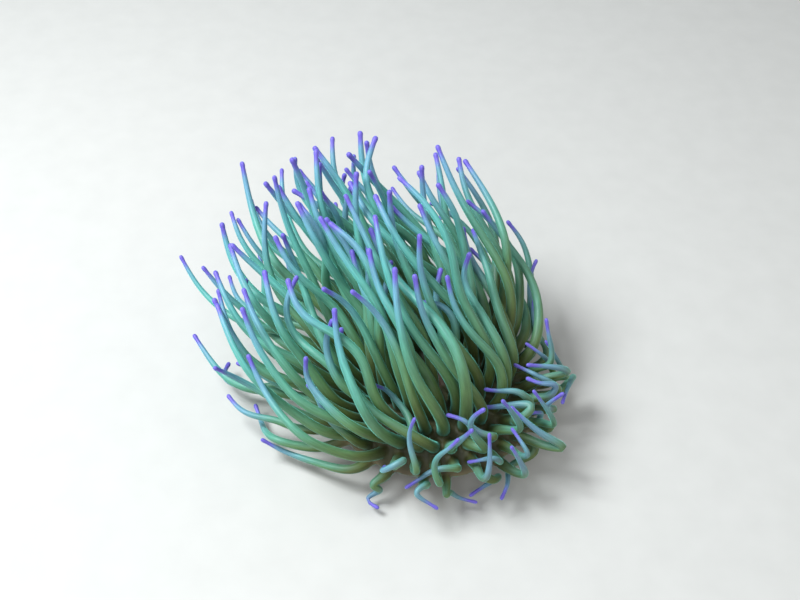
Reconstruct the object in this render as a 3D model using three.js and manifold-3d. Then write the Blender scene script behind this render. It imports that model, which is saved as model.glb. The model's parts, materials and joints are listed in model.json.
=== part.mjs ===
// Snakelocks sea anemone, life size and at rest on level ground.
// Millimetres, +Z up. The origin is the middle of the pedal disc's underside, on the ground.
// The crown of tentacles is carried towards -X and +Y, as if by a gentle current.

import * as THREE from "three";
import Module from "manifold-3d";

const wasm = await Module();
wasm.setup();

// ---------------------------------------------------------------- driving sizes

const SECTORS = 12; // wedges of the crown, each with the same thirteen tentacle roots
const BEND_POINTS = 7; // points that carry the centreline of one tentacle

const PEDAL_RADIUS = 42.5; // widest part of the foot
const PEDAL_HEIGHT = 6.5;
const WAIST_RADIUS = 33.6; // narrowest part of the column
const COLUMN_TOP = 20.9; // level on which the crown sits
const CORE_RADIUS = 43.4; // top of the column, inside the margin of the crown
const MOUTH_RADIUS = 6.1;
const ORAL_RADIUS = 14.6; // bare disc round the mouth
const SEAM = 0.3; // clearance between neighbouring pieces

const ROOT_RADIUS = 3.0; // tentacle half thickness at the root,
const SHAFT_RADIUS = 2.35; // over the shaft,
const TIP_RADIUS = 1.15; // and at the tip
const OUTER_SLIMNESS = 0.9; // tentacles of the outermost rings are slighter

const DOME = [90, 90, 103]; // half axes of the dome the tips lie on
const DOME_LEVEL = 22; // height of the middle of that dome
const DRIFT = [-42, 42]; // how far the dome is carried off the body
const CLEARANCE = 0.5; // least distance kept between two tentacles
const FACET_REACH = 1.15; // corner radius of a four sided length of tentacle, per unit radius

// Rings of tentacles from the mouth outward: which cluster they belong to, radius, height,
// lean of the margin there in degrees, and bearings inside a sector in degrees.
const RINGS = [
  { group: "inner", radius: 20.0, height: 29.5, lean: 6, bearings: [0] },
  { group: "inner", radius: 27.4, height: 30.0, lean: 16, bearings: [-7, 7] },
  { group: "middle", radius: 36.2, height: 29.2, lean: 30, bearings: [-6.6, 6.6] },
  { group: "middle", radius: 44.0, height: 26.8, lean: 46, bearings: [-9.4, 0, 9.4] },
  { group: "outer", radius: 49.8, height: 22.0, lean: 64, bearings: [-10, 0, 10] },
  { group: "outer", radius: 53.0, height: 15.5, lean: 84, bearings: [-5.5, 5.5] },
];

// Section of the wedge of margin each cluster grows from, as [radius, height] corners,
// and how deep below its ring each tentacle is rooted.
const WEDGES = {
  inner: { depth: 2.6, section: [[15, 21.2], [32.2, 21.2], [32.2, 29.9], [15, 29.2]] },
  middle: { depth: 2.8, section: [[32.5, 21.2], [43.3, 21.2], [47.4, 24.5], [32.5, 30.2]] },
  outer: { depth: 4.2, section: [[43.8, 12.2], [53.8, 12.2], [52.2, 18.9], [47.7, 24.1], [43.8, 21.0]] },
};

// ---------------------------------------------------------------- small sums on vectors

const add = (a, b) => [a[0] + b[0], a[1] + b[1], a[2] + b[2]];
const sub = (a, b) => [a[0] - b[0], a[1] - b[1], a[2] - b[2]];
const scale = (a, k) => [a[0] * k, a[1] * k, a[2] * k];
const dot = (a, b) => a[0] * b[0] + a[1] * b[1] + a[2] * b[2];
const cross = (a, b) => [a[1] * b[2] - a[2] * b[1], a[2] * b[0] - a[0] * b[2], a[0] * b[1] - a[1] * b[0]];
const size = (a) => Math.sqrt(dot(a, a));
const unit = (a) => scale(a, 1 / size(a));
const clamp = (x, low, high) => Math.min(Math.max(x, low), high);
const radians = (degrees) => (degrees * Math.PI) / 180;

// Repeatable unevenness between -1 and 1 for tentacle i, trait k.
function trait(i, k) {
  const x = Math.sin(i * 12.9898 + k * 78.233 + 49.4) * 43758.5453;
  return (x - Math.floor(x)) * 2 - 1;
}

// One at the given bearing, fading to nothing over about the given width, in degrees.
function lobe(bearing, middle, width) {
  const away = ((((bearing - middle + 180) % 360) + 360) % 360) - 180;
  return Math.exp(-((away / width) ** 2));
}

// ---------------------------------------------------------------- where the tentacles grow

function tentacleRoots() {
  const roots = [];
  for (let sector = 0; sector < SECTORS; sector++) {
    for (const ring of RINGS) {
      for (const offset of ring.bearings) {
        const bearing = (sector * 360) / SECTORS + offset;
        const turn = radians(bearing);
        const lean = radians(ring.lean);
        roots.push({
          index: roots.length,
          cluster: `${ring.group}_${String(sector + 1).padStart(2, "0")}`,
          outermost: ring.lean > 75,
          slight: ring.group === "outer",
          depth: WEDGES[ring.group].depth,
          bearing,
          turn,
          lean,
          point: [ring.radius * Math.cos(turn), ring.radius * Math.sin(turn), ring.height],
          normal: [Math.sin(lean) * Math.cos(turn), Math.sin(lean) * Math.sin(turn), Math.cos(lean)],
        });
      }
    }
  }
  return roots;
}

// Where the tentacle's tip lies, how it points there, and how freely it bends on the way.
function tipOf(root) {
  const j = [];
  for (let k = 0; k < 12; k++) {
    j.push(trait(root.index, k));
  }
  const unruly = j[8] > 0.4 ? 1.9 : 1.0;
  const fall = Math.abs(radians(5) + root.lean * 0.98 + radians(12) * j[0] * unruly);
  const turn = root.turn + (radians(13) * j[1] * unruly) / (0.3 + Math.sin(fall));
  const front = lobe(root.bearing, -75, 70);
  const right = lobe(root.bearing, 10, 60);
  const lee = lobe(root.bearing, -56, 62);
  const swell = 1 + 0.1 * j[3] - (unruly > 1 ? 0.12 : 0);
  let tip = [
    DRIFT[0] + DOME[0] * Math.sin(fall) * Math.cos(turn) * swell + 18 * front * Math.sin(fall),
    DRIFT[1] + DOME[1] * Math.sin(fall) * Math.sin(turn) * swell,
    DOME_LEVEL + DOME[2] * Math.cos(fall) * swell,
  ];
  // Half of them stop short of the dome and point more sideways, most of all towards the
  // sheltered side, so that tips show all over the crown.
  const short = (0.14 + 0.38 * lobe(root.bearing, -50, 85)) * Math.max(0, j[11]);
  tip = add(root.point, scale(sub(tip, root.point), 1 - short));
  tip = add(tip, scale([j[4] + 0.3, j[9], 0.3 * j[7]], 42 * short));
  // On the sheltered side the outermost tentacles are short and curl up by the rim,
  // and some hang down and lie on the ground beside the foot.
  const curled = lee > 0.35 && root.lean > radians(40) && j[10] > 2.1 - 2.1 * root.lean - 0.9 * lee;
  const hanging = curled && root.outermost && j[11] > 0.25;
  const aside = root.turn + radians(34) * j[4];
  if (hanging) {
    tip = [(61 + 7 * j[6]) * Math.cos(aside), (61 + 7 * j[6]) * Math.sin(aside), 4];
  } else if (curled) {
    tip = add(add(root.point, scale(root.normal, 13)), [17 * j[4] - 9, 9 * j[6], 15 + 15 * j[7]]);
  }
  tip[2] = Math.max(tip[2], 4 + 6 * Math.abs(j[4]));

  const straight = sub(tip, root.point);
  const span = size(straight);
  const slack = Math.max(0, 1 - span / 72);
  const reach = Math.max(span, 56 + 12 * j[5]);
  const sway = unit([0.22 - 0.75 * right, 0.6, 0.55]);
  let heading = add(scale(straight, (1 - slack) / span), scale(sway, 0.6));
  heading = unit(add(heading, scale([j[4], j[6], 0.6 * j[7]], (0.75 + 1.5 * short) * unruly)));
  let start = reach * 0.38;
  let end = reach * 0.36;
  if (hanging) {
    const lie = root.turn + radians(70) * Math.sign(j[4]);
    heading = [Math.cos(lie), Math.sin(lie), 0];
    start = 22;
    end = 22;
  } else if (curled) {
    heading = unit([-0.6 + 0.9 * j[4], 0.1 + 0.8 * j[6], 0.2 + 0.8 * j[7]]);
    start = reach * 0.36;
    end = reach * 0.55;
  }
  return {
    tip,
    heading,
    start,
    end,
    across: unit(cross(straight, [j[7], j[9], 0.9])),
    wave: 4.2 + 3.0 * j[9],
    pace: 1.05 + 0.25 * j[6],
    phase: 3 * j[4],
    girth: (1 + 0.07 * j[2]) * (root.slight ? OUTER_SLIMNESS : 1),
  };
}

// Centreline of one tentacle before it is eased away from its neighbours.
function centreline(root, aim) {
  const samples = 200;
  const a = root.point;
  const b = add(a, scale(root.normal, aim.start));
  const c = sub(aim.tip, scale(aim.heading, aim.end));
  c[2] = Math.max(c[2], 3);
  const d = aim.tip;
  const fine = [];
  for (let n = 0; n < samples; n++) {
    const t = n / (samples - 1);
    const u = 1 - t;
    const curve = add(
      add(scale(a, u * u * u), scale(b, 3 * u * u * t)),
      add(scale(c, 3 * u * t * t), scale(d, t * t * t)),
    );
    const swing = aim.wave * Math.sin(t * 2 * Math.PI * aim.pace + aim.phase) * Math.min(1, t * 2.2) ** 2;
    fine.push(add(curve, scale(aim.across, swing)));
  }
  return evenly(fine, BEND_POINTS);
}

// The same line carried by a few points spaced evenly along it.
function evenly(line, count) {
  const along = [0];
  for (let n = 1; n < line.length; n++) {
    along.push(along[n - 1] + size(sub(line[n], line[n - 1])));
  }
  const total = along[line.length - 1];
  const points = [];
  let n = 0;
  for (let k = 0; k < count; k++) {
    const wanted = (total * k) / (count - 1);
    while (n < line.length - 2 && along[n + 1] < wanted) {
      n++;
    }
    const share = clamp((wanted - along[n]) / (along[n + 1] - along[n]), 0, 1);
    points.push(add(line[n], scale(sub(line[n + 1], line[n]), share)));
  }
  return points;
}

function girthAt(t) {
  if (t < 0.35) {
    return ROOT_RADIUS + (SHAFT_RADIUS - ROOT_RADIUS) * (t / 0.35);
  }
  return SHAFT_RADIUS + (TIP_RADIUS - SHAFT_RADIUS) * ((t - 0.35) / 0.65) ** 1.2;
}

// ---------------------------------------------------------------- keeping tentacles apart

// Shares along two straight lengths p-q and v-w at which they come closest.
function closest(p, q, v, w) {
  const d1 = sub(q, p);
  const d2 = sub(w, v);
  const r = sub(p, v);
  const a = dot(d1, d1);
  const e = dot(d2, d2);
  const f = dot(d2, r);
  const c = dot(d1, r);
  const b = dot(d1, d2);
  const den = a * e - b * b;
  let s = den > 1e-9 * a * e ? clamp((b * f - c * e) / den, 0, 1) : 0.5;
  let t = (b * s + f) / e;
  if (t < 0) {
    s = clamp(-c / a, 0, 1);
  } else if (t > 1) {
    s = clamp((b - c) / a, 0, 1);
  }
  t = clamp(t, 0, 1);
  return [s, t];
}

// Radius of the foot, column or margin at a height, which tentacles stay outside of.
function bodyRadius(z) {
  if (z < 4) {
    return PEDAL_RADIUS;
  }
  if (z < 12) {
    return 37.5;
  }
  if (z < 22) {
    return 53.5;
  }
  return 0;
}

// Pairs of lengths near enough to touch. Lengths next to a shared wedge are let be.
function neighbours(tentacles) {
  const lengths = [];
  for (const one of tentacles) {
    for (let k = 0; k < BEND_POINTS - 1; k++) {
      const from = one.line[k];
      const to = one.line[k + 1];
      const middle = scale(add(from, to), 0.5);
      lengths.push({ one, k, middle, half: size(sub(to, from)) / 2 });
    }
  }
  const pairs = [];
  for (let m = 0; m < lengths.length; m++) {
    for (let n = m + 1; n < lengths.length; n++) {
      const a = lengths[m];
      const b = lengths[n];
      if (a.one === b.one) {
        continue;
      }
      if (a.one.cluster === b.one.cluster && (a.k === 0 || b.k === 0)) {
        continue;
      }
      if (size(sub(a.middle, b.middle)) < a.half + b.half + 12) {
        pairs.push([a.one, a.k, b.one, b.k]);
      }
    }
  }
  return pairs;
}

// Eases all tentacles apart together until none passes through another, through the
// body or through the ground, keeping their roots, lengths and sweep.
function easeApart(tentacles, rounds) {
  for (const one of tentacles) {
    one.first = one.line.map((p) => [...p]);
    one.rest = [];
    for (let k = 0; k < BEND_POINTS - 1; k++) {
      one.rest.push(size(sub(one.line[k + 1], one.line[k])));
    }
  }
  let pairs = [];
  for (let round = 0; round < rounds; round++) {
    if (round % 8 === 0) {
      pairs = neighbours(tentacles);
    }
    for (const one of tentacles) {
      one.push = one.line.map(() => [0, 0, 0]);
      one.weight = one.line.map(() => 0);
    }
    for (const [one, k, two, m] of pairs) {
      const [s, t] = closest(one.line[k], one.line[k + 1], two.line[m], two.line[m + 1]);
      const here = add(one.line[k], scale(sub(one.line[k + 1], one.line[k]), s));
      const there = add(two.line[m], scale(sub(two.line[m + 1], two.line[m]), t));
      const apart = sub(here, there);
      const distance = size(apart);
      const thickHere = one.radii[k] * (1 - s) + one.radii[k + 1] * s;
      const thickThere = two.radii[m] * (1 - t) + two.radii[m + 1] * t;
      const depth = FACET_REACH * (thickHere + thickThere) + CLEARANCE - distance;
      if (depth <= 0) {
        continue;
      }
      const shove = scale(apart, (depth * 0.5) / Math.max(distance, 1e-6));
      for (const [which, n, share, sign] of [[one, k, s, 1], [two, m, t, -1]]) {
        which.push[n] = add(which.push[n], scale(shove, sign * (1 - share)));
        which.push[n + 1] = add(which.push[n + 1], scale(shove, sign * share));
        which.weight[n] += 1 - share;
        which.weight[n + 1] += share;
      }
    }
    for (const one of tentacles) {
      settleRound(one);
    }
  }
}

function settleRound(one) {
  const last = BEND_POINTS - 1;
  const shift = one.line.map((p, k) => {
    const moved = add(p, scale(one.push[k], 1.3 / Math.max(one.weight[k], 1)));
    return sub(moved, one.first[k]);
  });
  const eased = shift.map((p) => [...p]);
  for (let k = 1; k < last; k++) {
    const beside = scale(add(shift[k - 1], shift[k + 1]), 0.5);
    eased[k] = add(shift[k], scale(sub(beside, shift[k]), 0.12));
  }
  eased[last] = add(shift[last], scale(sub(shift[last - 1], shift[last]), 0.12));
  eased[0] = [0, 0, 0];
  eased[1] = scale(eased[1], 0.6);
  one.line = one.first.map((p, k) => add(p, eased[k]));
  for (let k = 2; k <= last; k++) {
    const p = one.line[k];
    const thick = FACET_REACH * one.radii[k];
    p[2] = Math.max(p[2], thick + 0.05);
    const limit = Math.max(bodyRadius(p[2] - thick), bodyRadius(p[2]), bodyRadius(p[2] + thick)) + thick;
    const out = Math.sqrt(p[0] * p[0] + p[1] * p[1]);
    if (bodyRadius(p[2] - thick) > 0 && out < limit) {
      p[0] *= 1 + 0.5 * (limit / out - 1);
      p[1] *= 1 + 0.5 * (limit / out - 1);
    }
  }
  for (let k = 1; k <= last; k++) {
    const step = sub(one.line[k], one.line[k - 1]);
    const stretch = 1 + 0.5 * (one.rest[k - 1] / size(step) - 1);
    one.line[k] = add(one.line[k - 1], scale(step, stretch));
  }
}

function growTentacles() {
  const tentacles = tentacleRoots().map((root) => {
    const aim = tipOf(root);
    const line = centreline(root, aim);
    const radii = line.map((p, k) => girthAt(k / (BEND_POINTS - 1)) * aim.girth);
    return { ...root, line, radii };
  });
  easeApart(tentacles, 320);
  return tentacles;
}

// ---------------------------------------------------------------- solids

// Joins loops of points into one closed skin. Each loop has the same count; the first and
// the last may shrink to a single point.
function skinOf(loops, closedRound) {
  const positions = [];
  const faces = [];
  const starts = [];
  for (const loop of loops) {
    starts.push(positions.length / 3);
    for (const p of loop) {
      positions.push(p[0], p[1], p[2]);
    }
  }
  for (let n = 0; n < loops.length - (closedRound ? 0 : 1); n++) {
    const m = (n + 1) % loops.length;
    const many = Math.max(loops[n].length, loops[m].length);
    for (let k = 0; k < many; k++) {
      const l = (k + 1) % many;
      const a = starts[n] + (loops[n].length > 1 ? k : 0);
      const b = starts[n] + (loops[n].length > 1 ? l : 0);
      const c = starts[m] + (loops[m].length > 1 ? l : 0);
      const d = starts[m] + (loops[m].length > 1 ? k : 0);
      if (loops[n].length > 1) {
        faces.push(a, b, c);
      }
      if (loops[m].length > 1) {
        faces.push(a, c, d);
      }
    }
  }
  if (!closedRound) {
    capLoop(faces, starts[0], loops[0].length, true);
    capLoop(faces, starts[loops.length - 1], loops[loops.length - 1].length, false);
  }
  return solidOf(positions, faces);
}

function capLoop(faces, start, count, facingBack) {
  for (let k = 1; k < count - 1; k++) {
    if (facingBack) {
      faces.push(start, start + k + 1, start + k);
    } else {
      faces.push(start, start + k, start + k + 1);
    }
  }
}

function solidOf(positions, faces) {
  const mesh = new wasm.Mesh({
    numProp: 3,
    vertProperties: new Float32Array(positions),
    triVerts: new Uint32Array(faces),
  });
  return new wasm.Manifold(mesh);
}

// Turned body from [radius, height] points, from the axis or an inner wall outward and up.
// A corner stands on every border between sectors; ovalness narrows the body across Y.
function turned(profile, steps, hollow = false, ovalness = () => 1) {
  const loops = profile.map(([radius, height]) => {
    if (radius === 0) {
      return [[0, 0, height]];
    }
    const loop = [];
    for (let k = 0; k < steps; k++) {
      const angle = (2 * Math.PI * k) / steps + Math.PI / SECTORS;
      loop.push([radius * Math.cos(angle), radius * ovalness(radius) * Math.sin(angle), height]);
    }
    return loop;
  });
  return skinOf(loops, hollow);
}

// Wedge of margin: a section carried across one sector, half a seam short of its sides.
function wedge(section, sector) {
  const middle = (2 * Math.PI * sector) / SECTORS;
  const loops = [1, -1].map((side) => {
    const angle = middle + (side * Math.PI) / SECTORS;
    const inward = (side * SEAM) / 2;
    return section.map(([radius, height]) => [
      radius * Math.cos(angle) + inward * Math.sin(angle),
      radius * Math.sin(angle) - inward * Math.cos(angle),
      height,
    ]);
  });
  return skinOf(loops, false);
}

// Bends that hardly show are left out of the faceted form.
function needed(line) {
  const kept = [0];
  for (let k = 1; k < line.length - 1; k++) {
    const from = line[kept[kept.length - 1]];
    const chord = unit(sub(line[k + 1], from));
    const off = size(cross(sub(line[k], from), chord));
    if (off > 1.3) {
      kept.push(k);
    }
  }
  kept.push(line.length - 1);
  return kept;
}

// Four sided tentacle with a pointed end, rooted a little inside its wedge. Its root is cut
// parallel to the first bend, so the sides leave the wedge flat.
function tentacleSolid(one) {
  const kept = needed(one.line);
  const line = kept.map((k) => one.line[k]);
  const radii = kept.map((k) => one.radii[k] * FACET_REACH);
  const last = line.length - 1;
  line[0] = sub(line[0], scale(one.normal, one.depth));
  const radial = [Math.cos(one.turn), Math.sin(one.turn), 0];
  const lateral = cross(one.normal, radial);
  let side = unit(add(unit(cross(lateral, one.normal)), unit(lateral)));
  const loops = [];
  for (let k = 1; k <= last; k++) {
    const back = unit(sub(line[k], line[k - 1]));
    const ahead = k < last ? unit(sub(line[k + 1], line[k])) : back;
    const along = unit(add(back, ahead));
    side = unit(sub(side, scale(along, dot(side, along))));
    const over = cross(along, side);
    for (const n of k === 1 ? [0, 1] : [k]) {
      const corners = [side, over, scale(side, -1), scale(over, -1)];
      loops.push(corners.map((corner) => add(line[n], scale(corner, radii[n]))));
    }
    if (k === last) {
      loops.push([add(line[k], scale(along, radii[k] * 0.8))]);
    }
  }
  return skinOf(loops, false);
}

function meshOf(solid, name, colour) {
  const made = solid.getMesh();
  const geometry = new THREE.BufferGeometry();
  geometry.setAttribute("position", new THREE.BufferAttribute(new Float32Array(made.vertProperties), 3));
  geometry.setIndex(new THREE.BufferAttribute(new Uint32Array(made.triVerts), 1));
  geometry.computeVertexNormals();
  const material = new THREE.MeshStandardMaterial({ color: colour, roughness: 0.6 });
  const mesh = new THREE.Mesh(geometry, material);
  mesh.name = name;
  return mesh;
}

// ---------------------------------------------------------------- the animal

const anemone = new THREE.Group();
anemone.name = "sea_anemone";

const foot = turned(
  [[0, 0], [PEDAL_RADIUS - 1.5, 0], [PEDAL_RADIUS, 2], [37, PEDAL_HEIGHT], [0, PEDAL_HEIGHT]],
  24,
);
anemone.add(meshOf(foot, "pedal_disc", 0x6f6a3d));

const column = turned(
  [
    [0, PEDAL_HEIGHT + SEAM],
    [36.4, PEDAL_HEIGHT + SEAM],
    [WAIST_RADIUS, 9.0],
    [CORE_RADIUS, 13.4],
    [CORE_RADIUS, COLUMN_TOP],
    [0, COLUMN_TOP],
  ],
  12,
);
anemone.add(meshOf(column, "column", 0x6a7042));

const oval = (radius) => 1 - 0.22 * clamp((10 - radius) / 4, 0, 1);
const oralDisc = turned(
  [
    [MOUTH_RADIUS + SEAM, COLUMN_TOP + SEAM],
    [ORAL_RADIUS, COLUMN_TOP + SEAM],
    [ORAL_RADIUS, 28.6],
    [10, 27.6],
    [MOUTH_RADIUS + SEAM, 27.2],
  ],
  12,
  true,
  oval,
);
anemone.add(meshOf(oralDisc, "oral_disc", 0x7c7a4a));

const mouth = turned(
  [
    [0, COLUMN_TOP + SEAM],
    [MOUTH_RADIUS, COLUMN_TOP + SEAM],
    [MOUTH_RADIUS, 28.2],
    [4.8, 29.3],
    [3.0, 28.4],
    [0, 24.4],
  ],
  12,
  false,
  oval,
);
anemone.add(meshOf(mouth, "mouth", 0x8a6f5a));

const tentacles = growTentacles();
const COLOURS = { inner: 0x5f9f7c, middle: 0x579a86, outer: 0x4f9490 };
for (const group of ["inner", "middle", "outer"]) {
  for (let sector = 0; sector < SECTORS; sector++) {
    const cluster = `${group}_${String(sector + 1).padStart(2, "0")}`;
    const grown = tentacles.filter((one) => one.cluster === cluster).map(tentacleSolid);
    const solid = wasm.Manifold.union([wedge(WEDGES[group].section, sector), ...grown]);
    anemone.add(meshOf(solid, `tentacles_${cluster}`, COLOURS[group]));
  }
}

export default anemone;
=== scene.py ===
# %% [markdown]
# # Snakelocks sea anemone, life size
# A sea anemone is one soft body: a foot that grips the ground, a short column, and a broad
# margin that carries a crown of long tentacles round the mouth. The imported solids give its
# size and pose. This lesson models one continuous skin that stands for all of them, so that
# no border between the solids shows, and gives it the colours of living flesh, with some
# light and shade painted into them.

# %% Load the solids
import json
import math
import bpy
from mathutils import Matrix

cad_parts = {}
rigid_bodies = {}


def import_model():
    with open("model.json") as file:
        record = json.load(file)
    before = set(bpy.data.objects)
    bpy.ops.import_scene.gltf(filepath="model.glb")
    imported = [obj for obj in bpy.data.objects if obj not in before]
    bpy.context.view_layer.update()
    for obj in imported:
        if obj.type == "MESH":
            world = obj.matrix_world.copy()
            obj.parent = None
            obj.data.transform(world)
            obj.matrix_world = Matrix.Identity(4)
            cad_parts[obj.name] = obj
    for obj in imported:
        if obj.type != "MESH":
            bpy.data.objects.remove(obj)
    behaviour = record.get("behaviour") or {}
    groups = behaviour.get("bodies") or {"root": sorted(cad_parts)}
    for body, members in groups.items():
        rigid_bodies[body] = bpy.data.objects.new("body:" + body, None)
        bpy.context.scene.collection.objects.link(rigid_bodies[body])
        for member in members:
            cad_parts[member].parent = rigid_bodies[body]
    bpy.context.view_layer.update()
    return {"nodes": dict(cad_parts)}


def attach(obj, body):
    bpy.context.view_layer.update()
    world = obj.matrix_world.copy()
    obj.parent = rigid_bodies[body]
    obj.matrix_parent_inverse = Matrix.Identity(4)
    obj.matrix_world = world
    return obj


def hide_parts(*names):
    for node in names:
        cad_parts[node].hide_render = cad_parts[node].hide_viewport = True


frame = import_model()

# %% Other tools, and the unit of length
from types import SimpleNamespace

import bpy
import numpy as np

MM = 0.001  # sizes below are in millimetres, and Blender's are in metres

# %% [markdown]
# ## Camera
# The camera looks down at the crown from the front, half way between level and straight
# down, from a little over half a metre. It could be aimed with a Track To constraint, but
# a turn about X alone is exact here, because the camera looks square along Y.

# %% Camera
ELEVATION = 45.0
AIM = np.array([-16.6, 41.2, 41.2])  # the point in the middle of the view
AWAY = 580.0

slope = math.radians(ELEVATION)
back = np.array([0.0, -math.cos(slope), math.sin(slope)])
bpy.ops.object.camera_add(
    location=(AIM + AWAY * back) * MM,
    rotation=(math.radians(90.0 - ELEVATION), 0.0, 0.0),
)
camera = bpy.context.object
camera.name = "camera"
camera.data.lens = 50.0
camera.data.sensor_width = 36.0
camera.data.clip_start = 0.01
bpy.context.scene.camera = camera
print("camera at", [round(x, 3) for x in camera.location])

# %% [markdown]
# ## Where the tentacles grow
# The margin is divided into twelve sectors, and each sector carries the same thirteen roots
# on six rings. Each root has a direction in which its tentacle leaves the flesh. The same
# rules gave the solids their tentacles, so each line computed here is that of its solid.

# %% Sectors, rings and repeatable unevenness
SECTORS = 12
RINGS = [  # cluster, radius, height, lean of the margin, bearings in a sector, both in degrees
    ("inner", 20.0, 29.5, 6, [0]),
    ("inner", 27.4, 30.0, 16, [-7, 7]),
    ("middle", 36.2, 29.2, 30, [-6.6, 6.6]),
    ("middle", 44.0, 26.8, 46, [-9.4, 0, 9.4]),
    ("outer", 49.8, 22.0, 64, [-10, 0, 10]),
    ("outer", 53.0, 15.5, 84, [-5.5, 5.5]),
]
TENTACLE_STEP, TRAIT_STEP, SCATTER = 12.9898, 78.233, 43758.5453  # they only have to be uneven
CROWN_SEED = 49.4  # another value grows another crown of the same kind


def trait(i, k):
    """Unevenness between -1 and 1 for tentacle i, trait k, the same at each run."""
    x = math.sin(i * TENTACLE_STEP + k * TRAIT_STEP + CROWN_SEED) * SCATTER
    return (x - math.floor(x)) * 2 - 1


def lobe(bearing, middle, width):
    """One at the middle bearing, fading out over about the width, in degrees."""
    away = (bearing - middle + 180) % 360 - 180
    return math.exp(-((away / width) ** 2))


def unit(v):
    return v / np.linalg.norm(v)


# %% Roots
def tentacle_roots():
    roots = []
    for sector in range(SECTORS):
        for cluster, radius, height, lean, bearings in RINGS:
            for offset in bearings:
                bearing = sector * 360 / SECTORS + offset
                turn, tilt = math.radians(bearing), math.radians(lean)
                across = np.array([math.cos(turn), math.sin(turn), 0.0])
                roots.append(SimpleNamespace(
                    index=len(roots),
                    cluster=(cluster, sector),
                    outermost=lean > 75,
                    slight=cluster == "outer",
                    bearing=bearing,
                    turn=turn,
                    lean=tilt,
                    point=across * radius + np.array([0.0, 0.0, height]),
                    normal=across * math.sin(tilt) + np.array([0.0, 0.0, math.cos(tilt)]),
                ))
    return roots


roots = tentacle_roots()
print(len(roots), "tentacles")

# %% [markdown]
# ## How each tentacle lies
# A gentle current carries the crown back and to the left. The tips lie on a dome that is
# carried with it, and each tentacle runs there on a curve that leaves the flesh square and
# sways a little on the way. Half of them stop short of the dome and point more sideways, so
# that tips show all over the crown. On the sheltered side the outermost ones are short and
# curl, and some hang to the ground.

# %% Numbers of the crown's pose
DOME = [90.0, 90.0, 103.0]  # half sizes of the dome of tips
DOME_LEVEL = 22.0
DRIFT = [-42.0, 42.0]  # how far the current carries the dome
FRONT_SPREAD = 18.0  # how far the front of the dome reaches to the right
UNRULY = 1.9  # how much wilder than the rest some tentacles are
FRONT_SIDE, RIGHT_SIDE = (-75, 70), (10, 60)  # middle bearing and width, in degrees
CALM_SIDE, SHORT_SIDE = (-56, 62), (-50, 85)
STRAY = 42.0  # how far a short tentacle's tip strays
CURL_OUT = 13.0  # how far a curled tentacle's tip is from the margin
LIE_OUT, LIE_SPREAD = 61.0, 7.0  # how far from the axis a hanging tentacle's tip lies
GROUND_CLEAR = 4.0
SLACK_BELOW = 72.0  # tentacles whose tips are nearer than this are slack
LEAST_REACH = 56.0
CURRENT = [0.22, 0.6, 0.55]  # the way it bends the ends, before the right side's share
OUTER_SLIMNESS = 0.9
print("dome of tips", DOME, "carried off by", DRIFT)


# %% Where the tip goes
def tip_of(root, j):
    """The tip, how unruly and how short the tentacle is, and whether it curls or hangs."""
    unruly = UNRULY if j[8] > 0.4 else 1.0
    fall = abs(math.radians(5) + root.lean * 0.98 + math.radians(12) * j[0] * unruly)
    turn = root.turn + math.radians(13) * j[1] * unruly / (0.3 + math.sin(fall))
    spread = FRONT_SPREAD * lobe(root.bearing, *FRONT_SIDE)
    swell = 1 + 0.1 * j[3] - (0.12 if unruly > 1 else 0)
    tip = np.array([
        DRIFT[0] + DOME[0] * math.sin(fall) * math.cos(turn) * swell + spread * math.sin(fall),
        DRIFT[1] + DOME[1] * math.sin(fall) * math.sin(turn) * swell,
        DOME_LEVEL + DOME[2] * math.cos(fall) * swell,
    ])
    short = (0.14 + 0.38 * lobe(root.bearing, *SHORT_SIDE)) * max(0, j[11])
    tip = root.point + (tip - root.point) * (1 - short)
    tip = tip + np.array([j[4] + 0.3, j[9], 0.3 * j[7]]) * STRAY * short
    calm = lobe(root.bearing, *CALM_SIDE)
    curled = calm > 0.35 and root.lean > math.radians(40)
    curled = curled and j[10] > 2.1 - 2.1 * root.lean - 0.9 * calm
    hanging = curled and root.outermost and j[11] > 0.25
    if hanging:
        aside = root.turn + math.radians(34) * j[4]
        out = LIE_OUT + LIE_SPREAD * j[6]
        tip = np.array([out * math.cos(aside), out * math.sin(aside), GROUND_CLEAR])
    elif curled:
        tip = root.point + root.normal * CURL_OUT
        tip = tip + np.array([17 * j[4] - 9, 9 * j[6], 15 + 15 * j[7]])
    tip[2] = max(tip[2], GROUND_CLEAR + 6 * abs(j[4]))
    return tip, unruly, short, curled, hanging


# %% Aim of one tentacle
def aim_of(root):
    """What the curve of one tentacle needs: its tip, the way it points there, and its wave."""
    j = [trait(root.index, k) for k in range(12)]
    tip, unruly, short, curled, hanging = tip_of(root, j)
    straight = tip - root.point
    span = np.linalg.norm(straight)
    slack = max(0, 1 - span / SLACK_BELOW)
    reach = max(span, LEAST_REACH + 12 * j[5])
    right = lobe(root.bearing, *RIGHT_SIDE)
    sway = unit(np.array([CURRENT[0] - 0.75 * right, CURRENT[1], CURRENT[2]]))
    heading = straight * (1 - slack) / span + sway * 0.6
    heading = unit(heading + np.array([j[4], j[6], 0.6 * j[7]]) * (0.75 + 1.5 * short) * unruly)
    start, end = reach * 0.38, reach * 0.36
    if hanging:
        lie = root.turn + math.radians(70) * math.copysign(1, j[4])
        heading = np.array([math.cos(lie), math.sin(lie), 0.0])
        start, end = 22, 22
    elif curled:
        heading = unit(np.array([-0.6 + 0.9 * j[4], 0.1 + 0.8 * j[6], 0.2 + 0.8 * j[7]]))
        start, end = reach * 0.36, reach * 0.55
    return SimpleNamespace(
        tip=tip, heading=heading, start=start, end=end,
        across=unit(np.cross(straight, np.array([j[7], j[9], 0.9]))),
        wave=4.2 + 3.0 * j[9], pace=1.05 + 0.25 * j[6], phase=3 * j[4],
        girth=(1 + 0.07 * j[2]) * (OUTER_SLIMNESS if root.slight else 1),
    )


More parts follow.
